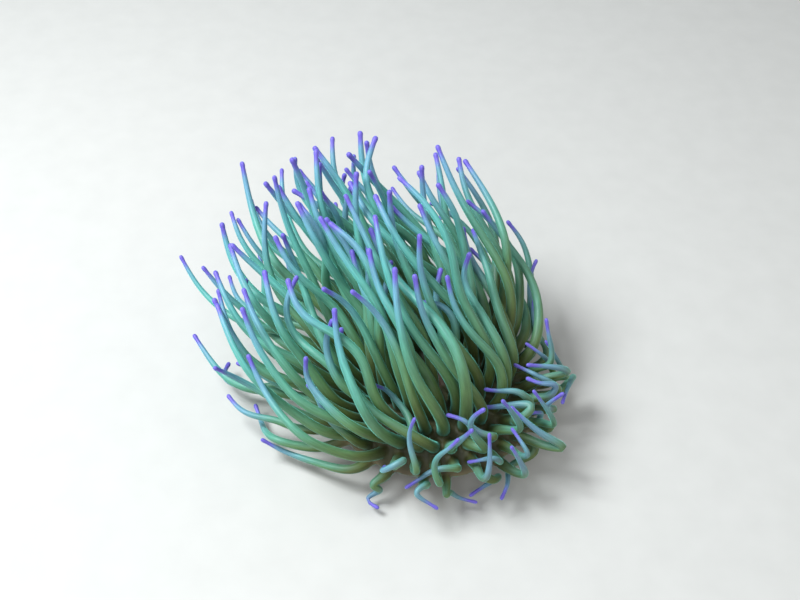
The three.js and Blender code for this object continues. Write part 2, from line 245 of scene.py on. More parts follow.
# %% Its line, carried by a few points spaced evenly
BEND_POINTS = 7
CURVE_SAMPLES = 200


def evenly(line, count):
    """A few points spaced evenly along a line of many."""
    along = np.r_[0, np.cumsum(np.linalg.norm(np.diff(line, axis=0), axis=1))]
    wanted = along[-1] * np.arange(count) / (count - 1)
    return np.stack([np.interp(wanted, along, line[:, axis]) for axis in range(3)], axis=1)


def centreline(root, aim):
    """A curve with two handles from root to tip, with a slight wave, as a few points."""
    a, d = root.point, aim.tip
    b = a + root.normal * aim.start
    c = d - aim.heading * aim.end
    c[2] = max(c[2], 3)
    t = np.arange(CURVE_SAMPLES)[:, None] / (CURVE_SAMPLES - 1)
    u = 1 - t
    curve = a * u ** 3 + b * 3 * u * u * t + c * 3 * u * t * t + d * t ** 3
    swing = aim.wave * np.sin(t * 2 * math.pi * aim.pace + aim.phase) * np.minimum(1, t * 2.2) ** 2
    return evenly(curve + aim.across * swing, BEND_POINTS)


# %% Half thickness along it
ROOT_RADIUS, SHAFT_RADIUS, TIP_RADIUS = 3.0, 2.35, 1.15
SHOULDER = 0.35  # share of the length at which the root has become the shaft


def girth_at(t):
    """Half thickness at a share of the length, for a tentacle of middling girth."""
    low = ROOT_RADIUS + (SHAFT_RADIUS - ROOT_RADIUS) * t / SHOULDER
    far = np.maximum(t - SHOULDER, 0) / (1 - SHOULDER)
    return np.where(t < SHOULDER, low, SHAFT_RADIUS + (TIP_RADIUS - SHAFT_RADIUS) * far ** 1.2)


aims = [aim_of(root) for root in roots]
girths = np.array([aim.girth for aim in aims])
lines = np.array([centreline(root, aim) for root, aim in zip(roots, aims)])
radii = girth_at(np.linspace(0, 1, BEND_POINTS))[None] * girths[:, None]
print("lines", lines.shape, "lowest and highest point", lines[..., 2].min(), lines[..., 2].max())

# %% [markdown]
# ## Keeping the tentacles apart
# So many tentacles would pass through one another. A cloth or rigid body simulation could
# sort them out, but small steps in code are quicker and the same at each run: in each
# round every pair that is too close is pushed apart a little, each line's shift is smoothed
# and its length brought back, and nothing may sink into the ground or the body.

# %% Nearest points of many pairs of straight lengths
def closest(p, q, v, w):
    """Shares of the way from p to q, and from v to w, at which the two lengths are nearest."""
    d1, d2, r = q - p, w - v, p - v
    a, e, f = (d1 * d1).sum(1), (d2 * d2).sum(1), (d2 * r).sum(1)
    c, b = (d1 * r).sum(1), (d1 * d2).sum(1)
    den = a * e - b * b
    skew = den > 1e-9 * a * e
    s = np.where(skew, np.clip((b * f - c * e) / np.where(skew, den, 1), 0, 1), 0.5)
    t = (b * s + f) / e
    s = np.where(t < 0, np.clip(-c / a, 0, 1), np.where(t > 1, np.clip((b - c) / a, 0, 1), s))
    return s, np.clip(t, 0, 1)


def body_radius(z):
    """Radius of the foot, column or margin at a height, which tentacles stay outside of."""
    return np.select([z < 4, z < 12, z < 22], [42.5, 37.5, 53.5], 0.0)


# %% One round after another
LOOK_AGAIN = 8  # rounds between two searches for pairs that are near
ROWS_AT_ONCE = 400  # how many lengths are compared with all others in one go
PUSH = 1.3  # a little more than needed, because smoothing takes some of it back


def ease_apart(lines, radii, rounds, reach, gap, look, root_part, free_from, smoothing):
    """Keeps the lines apart by reach times their radii plus gap. Pairs are looked for within
    look. The first root_part lengths of neighbours from one wedge may touch. Returns the
    lines, and how far the closest pair falls short of the space kept between them."""
    first = lines.copy()
    many, count = radii.shape
    rest = np.linalg.norm(np.diff(lines, axis=1), axis=2)
    one = np.repeat(np.arange(many), count - 1)
    k = np.tile(np.arange(count - 1), many)
    wedge = np.unique([f"{c}{s}" for c, s in (r.cluster for r in roots)], return_inverse=True)[1]
    for turn in range(rounds):
        if turn % LOOK_AGAIN == 0:
            a, b = lines[one, k], lines[one, k + 1]
            middle, half = (a + b) / 2, np.linalg.norm(b - a, axis=1) / 2
            pairs_a, pairs_b = [], []
            for start in range(0, len(one), ROWS_AT_ONCE):
                rows = slice(start, start + ROWS_AT_ONCE)
                far = np.linalg.norm(middle[rows, None] - middle[None], axis=2)
                near = far < half[rows, None] + half[None] + look
                near &= one[rows, None] < one[None]
                m, n = np.nonzero(near)
                pairs_a.append(m + start)
                pairs_b.append(n)
            m, n = np.concatenate(pairs_a), np.concatenate(pairs_b)
            rooted = (k[m] < root_part) | (k[n] < root_part)
            keep = ~((wedge[one[m]] == wedge[one[n]]) & rooted)
            m, n = m[keep], n[keep]
        s, t = closest(lines[one[m], k[m]], lines[one[m], k[m] + 1],
                       lines[one[n], k[n]], lines[one[n], k[n] + 1])
        here = lines[one[m], k[m]] * (1 - s)[:, None] + lines[one[m], k[m] + 1] * s[:, None]
        there = lines[one[n], k[n]] * (1 - t)[:, None] + lines[one[n], k[n] + 1] * t[:, None]
        apart = here - there
        distance = np.linalg.norm(apart, axis=1)
        thick = (radii[one[m], k[m]] * (1 - s) + radii[one[m], k[m] + 1] * s
                 + radii[one[n], k[n]] * (1 - t) + radii[one[n], k[n] + 1] * t)
        depth = reach * thick + gap - distance
        hit = depth > 0
        shove = apart[hit] * (depth[hit] * 0.5 / np.maximum(distance[hit], 1e-6))[:, None]
        push, weight = np.zeros_like(lines), np.zeros((many, count))
        for which, share, sign in ((m[hit], s[hit], 1), (n[hit], t[hit], -1)):
            for step, part in ((0, 1 - share), (1, share)):
                np.add.at(push, (one[which], k[which] + step), sign * shove * part[:, None])
                np.add.at(weight, (one[which], k[which] + step), part)
        shift = lines + push * (PUSH / np.maximum(weight, 1))[..., None] - first
        lines = settle(first, shift, radii, rest, reach, free_from, smoothing)
    return lines, float(depth.max())


# %% Smoothing, ground, body and length in one round
def settle(first, shift, radii, rest, reach, free_from, smoothing):
    """The lines after one round: the root stays, and points from free_from on stay outside
    the body and above the ground."""
    eased = shift.copy()
    beside = (shift[:, :-2] + shift[:, 2:]) * 0.5
    eased[:, 1:-1] += (beside - shift[:, 1:-1]) * smoothing
    eased[:, -1] += (shift[:, -2] - shift[:, -1]) * smoothing
    eased[:, 0] = 0
    eased[:, 1] *= 0.6
    lines = first + eased
    free = lines[:, free_from:]
    thick = reach * radii[:, free_from:]
    free[..., 2] = np.maximum(free[..., 2], thick + 0.05)
    z = free[..., 2]
    limit = np.maximum.reduce([body_radius(z - thick), body_radius(z), body_radius(z + thick)]) + thick
    out = np.hypot(free[..., 0], free[..., 1])
    inside = (body_radius(z - thick) > 0) & (out < limit)
    free[..., :2] *= np.where(inside, 1 + 0.5 * (limit / out - 1), 1)[..., None]
    for k in range(1, lines.shape[1]):
        step = lines[:, k] - lines[:, k - 1]
        stretch = 1 + 0.5 * (rest[:, k - 1] / np.linalg.norm(step, axis=1) - 1)
        lines[:, k] = lines[:, k - 1] + step * stretch[:, None]
    return lines


lines, worst = ease_apart(
    lines, radii, rounds=320, reach=1.15, gap=0.5, look=12, root_part=1, free_from=2, smoothing=0.12,
)
print("space kept falls short by", round(worst, 3), "mm; tips reach", lines[:, -1].max(0).round(1))

# %% [markdown]
# ## From bent lengths to smooth curves
# Each line has seven points, and flesh bends smoothly. A cubic through the points, with the
# same bend on both sides of each, has no kinks. A second, finer easing then keeps a narrow
# gap between the round tentacles along the smooth curves.

# %% A smooth curve through evenly spaced points
FINE = 24  # lengths of one tentacle after smoothing


def smooth_weights(points, lengths):
    """Weights that turn values at evenly spaced points into a smooth curve's values."""
    bend = np.zeros((points, points))
    right = np.zeros((points, points))
    bend[0, 0] = bend[-1, -1] = 1
    for k in range(1, points - 1):
        bend[k, k - 1:k + 2] = [1, 4, 1]
        right[k, k - 1:k + 2] = [6, -12, 6]
    second = np.linalg.solve(bend, right)
    at = np.linspace(0, points - 1, lengths + 1)
    k = np.minimum(at.astype(int), points - 2)
    t = at - k
    weights = np.zeros((lengths + 1, points))
    for row, (n, x) in enumerate(zip(k, t)):
        weights[row, n] += 1 - x
        weights[row, n + 1] += x
        weights[row] += ((1 - x) ** 3 - (1 - x)) / 6 * second[n] + (x ** 3 - x) / 6 * second[n + 1]
    return weights


fine = np.einsum("fp,tpa->tfa", smooth_weights(BEND_POINTS, FINE), lines)
fine_radii = girth_at(np.linspace(0, 1, FINE + 1))[None] * girths[:, None]
fine, worst = ease_apart(
    fine, fine_radii, rounds=48, reach=1.0, gap=0.4, look=5, root_part=2, free_from=8, smoothing=0.45,
)
lengths = np.linalg.norm(np.diff(fine, axis=1), axis=2).sum(1)
print("space kept falls short by", round(worst, 3), "mm")
print("lengths from", lengths.min().round(), "to", lengths.max().round(), "mm")

# %% [markdown]
# ## Foot, column, margin and mouth
# The body is round, so its outline is drawn once as a line of points from the middle of the
# foot, up the column, over the margin and down into the mouth, and spun about the upright
# axis. It starts as a plane merged to a single point, which is then extruded along the
# outline. Spinning leaves doubles at the axis and the seam, and they are merged.

# %% Small helpers for objects and edit mode
def only(piece):
    """Makes a piece the one selected and active object."""
    bpy.ops.object.select_all(action="DESELECT")
    piece.select_set(True)
    bpy.context.view_layer.objects.active = piece


def edit(piece, chosen=None):
    """Enters edit mode with all points of a piece selected, or only the chosen ones."""
    only(piece)
    bpy.ops.object.mode_set(mode="EDIT")
    bpy.ops.mesh.select_mode(type="VERT")
    bpy.ops.mesh.select_all(action="SELECT" if chosen is None else "DESELECT")
    if chosen is not None:
        bpy.ops.object.mode_set(mode="OBJECT")
        piece.data.vertices.foreach_set("select", np.asarray(chosen, bool))
        bpy.ops.object.mode_set(mode="EDIT")


def done():
    bpy.ops.object.mode_set(mode="OBJECT")


def places(piece):
    """The points of a piece in millimetres."""
    co = np.zeros(len(piece.data.vertices) * 3)
    piece.data.vertices.foreach_get("co", co)
    return co.reshape(-1, 3) / MM


def move_to(piece, points):
    piece.data.vertices.foreach_set("co", (points * MM).ravel())
    piece.data.update()


# %% The outline, spun
OUTLINE = [  # radius, height
    (41.2, 0.0), (42.2, 0.7), (42.3, 2.0), (40.8, 3.9), (38.0, 6.0), (35.6, 7.8), (34.6, 9.4),
    (35.6, 11.0), (39.2, 12.0), (44.6, 12.4), (50.0, 12.8), (52.9, 13.8), (53.6, 15.8), (53.0, 18.4),
    (50.9, 21.4), (47.8, 24.2), (43.6, 26.7), (38.4, 28.6), (32.6, 29.7), (27.0, 30.0), (21.4, 29.5),
    (16.6, 28.8), (12.6, 28.0), (9.4, 27.4), (7.4, 27.6), (6.4, 28.5), (5.2, 29.2), (4.0, 28.9),
    (3.0, 27.6), (2.2, 25.8), (1.2, 24.7),
]
SPIN_STEPS = 96


def spun(name, outline, start, end, steps):
    """A closed form spun from an outline that runs from one point of the axis to another."""
    bpy.ops.mesh.primitive_plane_add(size=MM, location=(0, 0, start * MM))
    piece = bpy.context.object
    piece.name = piece.data.name = name
    edit(piece)
    bpy.ops.mesh.merge(type="CENTER")
    last = (0.0, start)
    for radius, height in [*outline, (0.0, end)]:
        step = ((radius - last[0]) * MM, 0, (height - last[1]) * MM)
        bpy.ops.mesh.extrude_region_move(TRANSFORM_OT_translate={"value": step})
        last = (radius, height)
    bpy.ops.mesh.select_all(action="SELECT")
    bpy.ops.mesh.spin(steps=steps, angle=2 * math.pi, center=(0, 0, 0), axis=(0, 0, 1))
    bpy.ops.mesh.select_all(action="SELECT")
    bpy.ops.mesh.remove_doubles(threshold=0.01 * MM)
    bpy.ops.mesh.normals_make_consistent(inside=False)
    done()
    bpy.ops.object.transform_apply(location=True, rotation=True, scale=True)
    return piece


bpy.ops.object.select_all(action="DESELECT")
skin = spun("anemone_skin", OUTLINE, 0.0, 24.4, SPIN_STEPS)
print("body", len(skin.data.polygons), "faces, radius", places(skin)[:, 0].max().round(2))

# %% [markdown]
# ## Folds of the body
# Living flesh isn't turned on a lathe. The foot spreads in shallow lobes, the column has
# upright folds where the walls inside are fixed, the disc has rays that run from the mouth
# to the tentacles, and the mouth is a slit between ribbed lips. A Subdivision Surface gives
# the mesh the points for this, and then each point is moved by a small sum of waves.

# %% Finer mesh, then folds
def apply(piece, kind, **settings):
    """Adds a modifier of one kind with its settings, and applies it."""
    only(piece)
    made = piece.modifiers.new(kind.lower(), kind)
    for name, value in settings.items():
        setattr(made, name, value)
    bpy.ops.object.modifier_apply(modifier=made.name)


def smooth(low, high, x):
    """From 0 at low to 1 at high, eased at both ends."""
    t = np.clip((x - low) / (high - low), 0, 1)
    return t * t * (3 - 2 * t)


RAYS, RAY_HEIGHT = 24, 0.32
LIP_RIBS, LIP_HEIGHT = 16, 0.4
DRAWN_IN = 0.6  # the lobes of the foot are drawn in by this, so that they stay inside the solid
SLIT = 0.3  # how much narrower than long the mouth is


def fold(p):
    """The body's points with lobes, folds, rays and lips."""
    angle, out, z = np.arctan2(p[:, 1], p[:, 0]), np.hypot(p[:, 0], p[:, 1]), p[:, 2]
    low = (1 - smooth(3, 9, z)) * smooth(20, 40, out)
    wall = smooth(3, 8, z) * (1 - smooth(11, 15, z)) * smooth(28, 34, out)
    top = smooth(24, 27, z)
    rays = top * smooth(8, 14, out) * (1 - smooth(26, 36, out))
    lips = top * smooth(2.5, 5, out) * (1 - smooth(7, 9.5, out))
    lobes = 0.7 * np.sin(5 * angle + 0.7) + 0.5 * np.sin(9 * angle + 2.1) + 0.25 * np.sin(17 * angle)
    pleats = 0.45 * np.cos(RAYS * angle + 0.6 * np.sin(3 * angle)) + 0.3 * np.sin(7 * angle)
    grow = low * (lobes - DRAWN_IN) + wall * pleats
    up = rays * RAY_HEIGHT * np.cos(RAYS * angle) + lips * LIP_HEIGHT * np.cos(LIP_RIBS * angle)
    made = p.copy()
    made[:, :2] *= (1 + grow / np.maximum(out, 1))[:, None]
    made[:, 2] += up
    made[:, 1] *= 1 - SLIT * top * (1 - smooth(6, 13, out))
    return made


apply(skin, "SUBSURF", levels=1, render_levels=1)
move_to(skin, fold(places(skin)))
print("body now", len(skin.data.polygons), "faces, lowest", places(skin)[:, 2].min().round(3))

# %% [markdown]
# ## One tentacle, modelled straight
# All tentacles have one build: a root that flares into the margin, a long shaft that tapers
# slowly, a slight neck and a small round knob at the tip. One is modelled upright from a
# circle, ring after ring, with extrude and resize. Curves with a bevel could make tubes as
# well, but not the flare and the knob.

# %% The model tentacle
SIDES = 12
SUNK = 2.4  # how much of the root is below the surface of the margin
ROOT_END = 9.0  # below it the root keeps its shape, however long the tentacle is
TIP_START = 92.0  # above it the tip keeps its shape
MODEL_LENGTH = 100.0
SHAFT_RINGS = 31
ROOT_RINGS = [(0.0, 4.4), (1.3, 4.05), (2.6, 3.7), (4.0, 3.4), (5.8, 3.18), (ROOT_END, 3.0)]
TIP_RINGS = [
    (TIP_START, 1.3), (94.6, 1.2), (96.4, 1.15), (97.5, 1.26), (98.4, 1.34), (99.1, 1.2),
    (99.6, 0.96), (99.88, 0.54),
]


def shaft_rings():
    """Heights and radii of the rings between root and tip."""
    rings = []
    for n in range(1, SHAFT_RINGS):
        t = n / SHAFT_RINGS
        rings.append((ROOT_END + (TIP_START - ROOT_END) * t, float(girth_at(0.02 + 0.9 * t))))
    return rings


def model_tentacle():
    rings = ROOT_RINGS + shaft_rings() + TIP_RINGS
    bpy.ops.object.select_all(action="DESELECT")
    bpy.ops.mesh.primitive_circle_add(vertices=SIDES, radius=rings[0][1] * MM, fill_type="NGON")
    piece = bpy.context.object
    piece.name = piece.data.name = "model_tentacle"
    edit(piece)
    height, radius = rings[0]
    for new_height, new_radius in rings[1:]:
        bpy.ops.mesh.extrude_region_move(
            TRANSFORM_OT_translate={"value": (0, 0, (new_height - height) * MM)})
        share = new_radius / radius
        bpy.ops.transform.resize(value=(share, share, 1))
        height, radius = new_height, new_radius
    bpy.ops.mesh.extrude_region_move(
        TRANSFORM_OT_translate={"value": (0, 0, (MODEL_LENGTH - height) * MM)})
    bpy.ops.mesh.merge(type="CENTER")
    bpy.ops.mesh.select_all(action="SELECT")
    bpy.ops.mesh.normals_make_consistent(inside=False)
    done()
    return piece


model = model_tentacle()
print("model tentacle", len(model.data.polygons), "faces, height", places(model)[:, 2].max().round(2))

# %% [markdown]
# ## What the colours need to know
# The colours of the flesh follow the tentacle: they change along it and vary from one to
# the next. Only the painted light and shade depend on which way a face looks and where it
# lies in the crown. So each point carries how far it is along (`along`), how many
# millimetres it is from the root (`reach`), a number of its own tentacle (`tone`) and a
# place for fine streaks that run lengthwise (`lay`). A flat map named OFBake keeps each
# tentacle in a strip of its own, for the exported model.

# %% Strips of the flat map
STRIPS_ACROSS, STRIPS_UP = 26, 6
BODY_SHARE = 0.26  # lower part of the map, kept for the body


def put(mesh, name, values, kind="FLOAT"):
    """Writes one number or vector for each point of a mesh."""
    made = mesh.attributes.get(name) or mesh.attributes.new(name, kind, "POINT")
    field = "value" if kind == "FLOAT" else "vector"
    made.data.foreach_set(field, np.asarray(values, np.float32).ravel())


def corners(mesh):
    """For each face corner its point, and the first corner of its face."""
    point = np.zeros(len(mesh.loops), np.int32)
    mesh.loops.foreach_get("vertex_index", point)
    start = np.zeros(len(mesh.polygons), np.int32)
    total = np.zeros(len(mesh.polygons), np.int32)
    mesh.polygons.foreach_get("loop_start", start)
    mesh.polygons.foreach_get("loop_total", total)
    return point, np.repeat(start, total)


def turns_at_corners(mesh, turn):
    """The turn about the axis at each corner, from 0 to 1, unbroken inside each face."""
    point, first = corners(mesh)
    here = turn[point]
    return here + np.round(here[first] - here)


def map_of(mesh):
    return mesh.uv_layers.get("OFBake") or mesh.uv_layers.new(name="OFBake")


def map_strip(mesh, index, turn, share):
    """Lays a tentacle flat in its own strip of the map."""
    point, _ = corners(mesh)
    across = 0.08 + 0.8 * turns_at_corners(mesh, turn)
    column, row = index % STRIPS_ACROSS, index // STRIPS_ACROSS
    u = (column + across) / STRIPS_ACROSS
    v = BODY_SHARE + (1 - BODY_SHARE) * (row + 0.03 + 0.94 * share[point]) / STRIPS_UP
    map_of(mesh).uv.foreach_set("vector", np.stack([u, v], axis=1).astype(np.float32).ravel())


# %% [markdown]
# ## The crown
# The model is copied once for each tentacle, with a mesh of its own. The shaft is stretched
# to its length while root and tip keep their shape, and a Curve modifier bends the copy
# along its line. The curve's own radius makes each tentacle a little thicker or slimmer,
# and swells and narrows it gently, as flesh that is full of water does.

# %% Stretch, mark and bend one copy
crown = bpy.data.collections.new("crown")
bpy.context.scene.collection.children.link(crown)


def stretched(index, length):
    """A copy of the model whose shaft alone is stretched to give it its length."""
    piece = model.copy()
    piece.data = model.data.copy()
    piece.name = piece.data.name = f"tentacle_{index:03d}"
    crown.objects.link(piece)
    share = (length - ROOT_END - (MODEL_LENGTH - TIP_START)) / (TIP_START - ROOT_END)
    z = places(model)[:, 2]
    edit(piece, z > ROOT_END + 0.01)
    bpy.ops.transform.resize(value=(1, 1, share), center_override=(0, 0, ROOT_END * MM))
    done()
    edit(piece, z > TIP_START + 0.01)
    tip_start = ROOT_END + (TIP_START - ROOT_END) * share
    bpy.ops.transform.resize(value=(1, 1, 1 / share), center_override=(0, 0, tip_start * MM))
    done()
    return piece


def mark(piece, index, length):
    """Writes what the colours need to know, and the flat map, while the copy is straight."""
    p = places(piece)
    turn = np.arctan2(p[:, 1], p[:, 0])
    reach = p[:, 2] - SUNK
    share = np.clip(p[:, 2] / length, 0, 1)
    streak = np.stack([np.cos(turn) + 7.3 * index, np.sin(turn), reach * 0.045], axis=1)
    put(piece.data, "along", np.clip(reach / (length - SUNK), 0, 1))
    put(piece.data, "reach", reach)
    put(piece.data, "tone", np.full(len(p), 0.5 + 0.5 * trait(index, 13)))
    put(piece.data, "lay", streak, "FLOAT_VECTOR")
    map_strip(piece.data, index, turn / (2 * math.pi), share)


def bend(piece, path, girth):
    """Bends a straight copy along a path, and thickens or slims it by girth on the way."""
    curve = bpy.data.curves.new("bend_line", "CURVE")
    curve.dimensions = "3D"
    curve.resolution_u = 3
    curve.twist_mode = "MINIMUM"
    curve.use_radius = True
    spline = curve.splines.new("NURBS")
    spline.points.add(len(path) - 1)
    spline.points.foreach_set("co", np.c_[path * MM, np.ones(len(path))].ravel())
    spline.points.foreach_set("radius", girth)
    spline.order_u = 4
    spline.use_endpoint_u = True
    line = bpy.data.objects.new("bend_line", curve)
    bpy.context.scene.collection.objects.link(line)
    apply(piece, "CURVE", object=line, deform_axis="POS_Z")
    bpy.data.objects.remove(line)
    bpy.data.curves.remove(curve)


# %% Grow them all
WOBBLE = 0.011  # how much the girth may change from one short length to the next
SHORT_SLIMNESS = 0.2  # how much slimmer than long ones the shortest tentacles are
rng = np.random.default_rng(7)
for root in roots:
    line = fine[root.index]
    path = np.vstack([line[0] - root.normal * SUNK, line])
    tip_radius = fine_radii[root.index, -1]
    path = np.vstack([path, path[-1] + unit(path[-1] - path[-2]) * tip_radius])
    length = np.linalg.norm(np.diff(path, axis=0), axis=1).sum()
    wobble = np.cumsum(rng.normal(0, WOBBLE, len(path)))
    wobble -= np.linspace(wobble[0], wobble[-1], len(path))
    slim = SHORT_SLIMNESS * smooth(75, 45, length) * smooth(0, SHOULDER, np.linspace(0, 1, len(path)))
    piece = stretched(root.index, length)
    mark(piece, root.index, length)
    bend(piece, path, girths[root.index] * (1 + wobble) * (1 - slim))
bpy.data.objects.remove(model)

# %% [markdown]
# ## One skin
# A Boolean union joins the crown to the body, so that nothing is left inside and the skin
# is closed. It leaves a crease round each root, and real flesh runs over it in a small
# hollow, so the points near the creases are smoothed a few times.

# %% Marks and flat map of the body
def map_body(piece):
    """Two round islands: the foot's underside, and all the rest spread out round the mouth."""
    p = places(piece)
    mesh = piece.data
    out, z = np.hypot(p[:, 0], p[:, 1]), p[:, 2]
    point, first = corners(mesh)
    under = z < 0.05
    count = np.bincount(first, weights=under[point].astype(float), minlength=len(point))
    size = np.bincount(first, minlength=len(point))
    below = (count >= size - 0.5)[first]
    spread = np.where(z > 24, out * 0.55, 0.55 * 53 + (53 - out) * 0.25 + (24 - z) * 1.1)
    scale = np.where(below, 1.0, spread[point] / np.maximum(out[point], 0.01))
    centre = np.where(below, 0.42, 0.14)
    share = np.where(below, 0.1 / 45, 0.12 / 62)  # of the map, for each millimetre
    u = centre + p[point, 0] * scale * share
    v = 0.13 + p[point, 1] * scale * share
    map_of(mesh).uv.foreach_set("vector", np.stack([u, v], axis=1).astype(np.float32).ravel())


BELOW_ROOTS = -6.0  # the reach of the body, so far below any root that it has its own colours
body_points = places(skin)
many = len(body_points)
for name in ("along", "tone"):
    put(skin.data, name, np.zeros(many))
put(skin.data, "reach", np.full(many, BELOW_ROOTS))
put(skin.data, "lay", body_points * 0.05, "FLOAT_VECTOR")
map_body(skin)
print("body marked at", many, "points")

# %% Union
apply(
    skin, "BOOLEAN", operation="UNION", solver="MANIFOLD",
    operand_type="COLLECTION", collection=crown,
)
for piece in list(crown.objects):
    bpy.data.objects.remove(piece)
bpy.data.collections.remove(crown)
print("skin", len(skin.data.polygons), "faces after the union")

# %% Creases eased
reach = np.zeros(len(skin.data.vertices), np.float32)
skin.data.attributes["reach"].data.foreach_get("value", reach)
p = places(skin)
nearest = np.full(len(p), np.inf)
for root in roots:
    nearest = np.minimum(nearest, np.linalg.norm(p - root.point, axis=1))
CREASE_WIDTH, CREASE_HEIGHT = 5.4, 2.2
edit(skin, (nearest < CREASE_WIDTH) & (reach < CREASE_HEIGHT))
bpy.ops.mesh.vertices_smooth(factor=0.5, repeat=4)
bpy.ops.mesh.select_all(action="SELECT")
bpy.ops.mesh.remove_doubles(threshold=0.02 * MM)
done()
only(skin)
bpy.ops.object.shade_smooth()
tris = sum(len(f.vertices) - 2 for f in skin.data.polygons)
print("skin", tris, "triangles")

# %% [markdown]
# ## Colours of the flesh
# The colour comes from tiny algae in the flesh and from its own pigments: umber and olive
# at the roots, mint green and teal along the shaft, lilac towards the end and strong violet
# at the tip. Lilac and violet are measured from the tip, so that a short tentacle has as
# much of them as a long one. Light and shade are painted in as well: the umber at the roots
# and the dark olive on top of the margin are partly painted shade between the crowded
# tentacles, the right and lower side of the crown is painted olive as if in shade, and faces
# that look up and to the left are painted pale teal as if lit. Thin skin glows at its edges,
# which a sheen gives. The finish is written as sums on sockets, so that a line of code reads
# as the rule it stands for.

# %% Sums on sockets
class Value:
    """A number that varies over a surface. Sums on it add Math nodes to its finish."""

    def __init__(self, finish, socket):
        self.finish, self.socket = finish, socket

    def math(self, operation, first, second):
        return self.finish.node("ShaderNodeMath", {"operation": operation}, {0: first, 1: second})

    def __add__(self, other):
        return self.math("ADD", self, other)

    def __sub__(self, other):
        return self.math("SUBTRACT", self, other)

    def __rsub__(self, other):
        return self.math("SUBTRACT", other, self)

    def __mul__(self, other):
        return self.math("MULTIPLY", self, other)

    def __truediv__(self, other):
        return self.math("DIVIDE", self, other)

    __radd__, __rmul__ = __add__, __mul__


class Finish:
    """One material, with short ways to add nodes to it."""

    def __init__(self, name, **constants):
        self.material = bpy.data.materials.new(name)
        self.material.use_nodes = True
        self.tree = self.material.node_tree
        self.tree.nodes.clear()
        self.shader = self.tree.nodes.new("ShaderNodeBsdfPrincipled")
        out = self.tree.nodes.new("ShaderNodeOutputMaterial")
        self.tree.links.new(self.shader.outputs[0], out.inputs[0])
        for socket, value in constants.items():
            self.shader.inputs[socket.replace("_", " ")].default_value = value

    def feed(self, socket, value):
        if isinstance(value, Value):
            self.tree.links.new(value.socket, socket)
        else:
            socket.default_value = value

    def node(self, kind, settings=None, sockets=None, out=0):
        made = self.tree.nodes.new(kind)
        for name, value in (settings or {}).items():
            if name == "stops":
                stops = made.color_ramp.elements
                while len(stops) < len(value):
                    stops.new(0.5)
                for stop, (place, colour) in zip(stops, value):
                    stop.position, stop.color = place, colour
            else:
                setattr(made, name, value)
        for name, value in (sockets or {}).items():
            self.feed(made.inputs[name], value)
        return Value(self, made.outputs[out])

    def attribute(self, name, out="Fac"):
        return self.node("ShaderNodeAttribute", {"attribute_name": name}, out=out)

    def step(self, value, low, high):
        """From 0 at low to 1 at high, eased at both ends. Low may be the larger number."""
        settings = {"interpolation_type": "SMOOTHSTEP"}
        return self.node("ShaderNodeMapRange", settings, {0: value, 1: low, 2: high})

    def noise(self, vector, scale, detail=2.0):
        return self.node("ShaderNodeTexNoise", {}, {"Vector": vector, "Scale": scale, "Detail": detail})

    def mix(self, share, first, second, blend="MIX"):
        settings = {"data_type": "RGBA", "blend_type": blend}
        return self.node("ShaderNodeMix", settings, {0: share, 6: first, 7: second}, out=2)

    def coat(self, name, value):
        self.feed(self.shader.inputs[name], value)


def colour(red, green, blue):
    """A colour given as on a screen, from 0 to 255, as the shader needs it."""
    light = [x / 255 for x in (red, green, blue)]
    return tuple(x / 12.92 if x <= 0.04045 else ((x + 0.055) / 1.055) ** 2.4 for x in light) + (1.0,)


# %% The flesh
# Painted shade: the umber at the roots is darker than the flesh itself, so that it also stands for the
# shade where the tentacles crowd.
UMBER_AND_ROOT_SHADE = colour(60, 66, 34)
OLIVE = colour(90, 104, 50)
LEAF = colour(96, 138, 86)
MINT = colour(86, 154, 128)
TEAL = colour(90, 172, 166)
LILAC = colour(114, 148, 198)
VIOLET = colour(112, 98, 204)
BARK = colour(96, 76, 50)
SAND = colour(138, 122, 84)
# Painted shade: the dark moss olive on top of the margin stands partly for its own colour and partly
# for the shade under the tentacles.
MOSS_AND_MARGIN_SHADE = colour(66, 64, 34)
LIP = colour(128, 104, 92)
LILAC_FROM_TIP = (34.0, 5.0)  # millimetres from the tip at which it starts, and is full
VIOLET_FROM_TIP = (10.0, 3.5)
# Painted light: faces that look this way, up and to the left, are painted paler teal, as if lit.
PAINTED_LIGHT_WAY = (-0.5, 0.1, 0.86)  # the side that the light of the sea falls on is paler

flesh = Finish(
    "anemone_flesh", Subsurface_Weight=0.22, Subsurface_Radius=(0.8, 1.0, 0.7), Subsurface_Scale=0.003,
    Sheen_Weight=0.85, Sheen_Roughness=0.3, Sheen_Tint=colour(130, 240, 225),
)
along = flesh.attribute("along")
reach = flesh.attribute("reach")
tone = flesh.attribute("tone")
lay = flesh.attribute("lay", "Vector")
place = flesh.node("ShaderNodeTexCoord", out="Object")
axes = flesh.node("ShaderNodeSeparateXYZ", {}, {0: place}, out=0)
side, level = axes, Value(flesh, axes.socket.node.outputs[2])

# %% Streaks, blotches and grain
streaks = flesh.noise(lay, 2.6, 3.0)
blotches = flesh.noise(place, 38.0, 2.0)
grain = flesh.noise(place, 900.0, 2.0)

# %% Colours along a tentacle
shift = (tone - 0.5) * 0.22 + (blotches - 0.5) * 0.25
# Umber at the roots and olive above them: the roots' own colour, darkened as painted shade between the
# crowded tentacles.
green = flesh.node("ShaderNodeValToRGB", {"stops": [
    (0.0, UMBER_AND_ROOT_SHADE), (0.13, OLIVE), (0.29, LEAF), (0.56, MINT), (0.86, TEAL),
]}, {0: along * 0.5 + reach * 0.005 + shift})
# Painted shade: the right and lower side of the crown is mixed half way to olive as if in shade, and
# the left and upper side keeps its colours as if lit.
painted_lit_side = flesh.step(side * -7.0 + level * 6.0, -0.1, 0.9)
shaft = flesh.mix((1 - painted_lit_side) * 0.5, green, OLIVE)
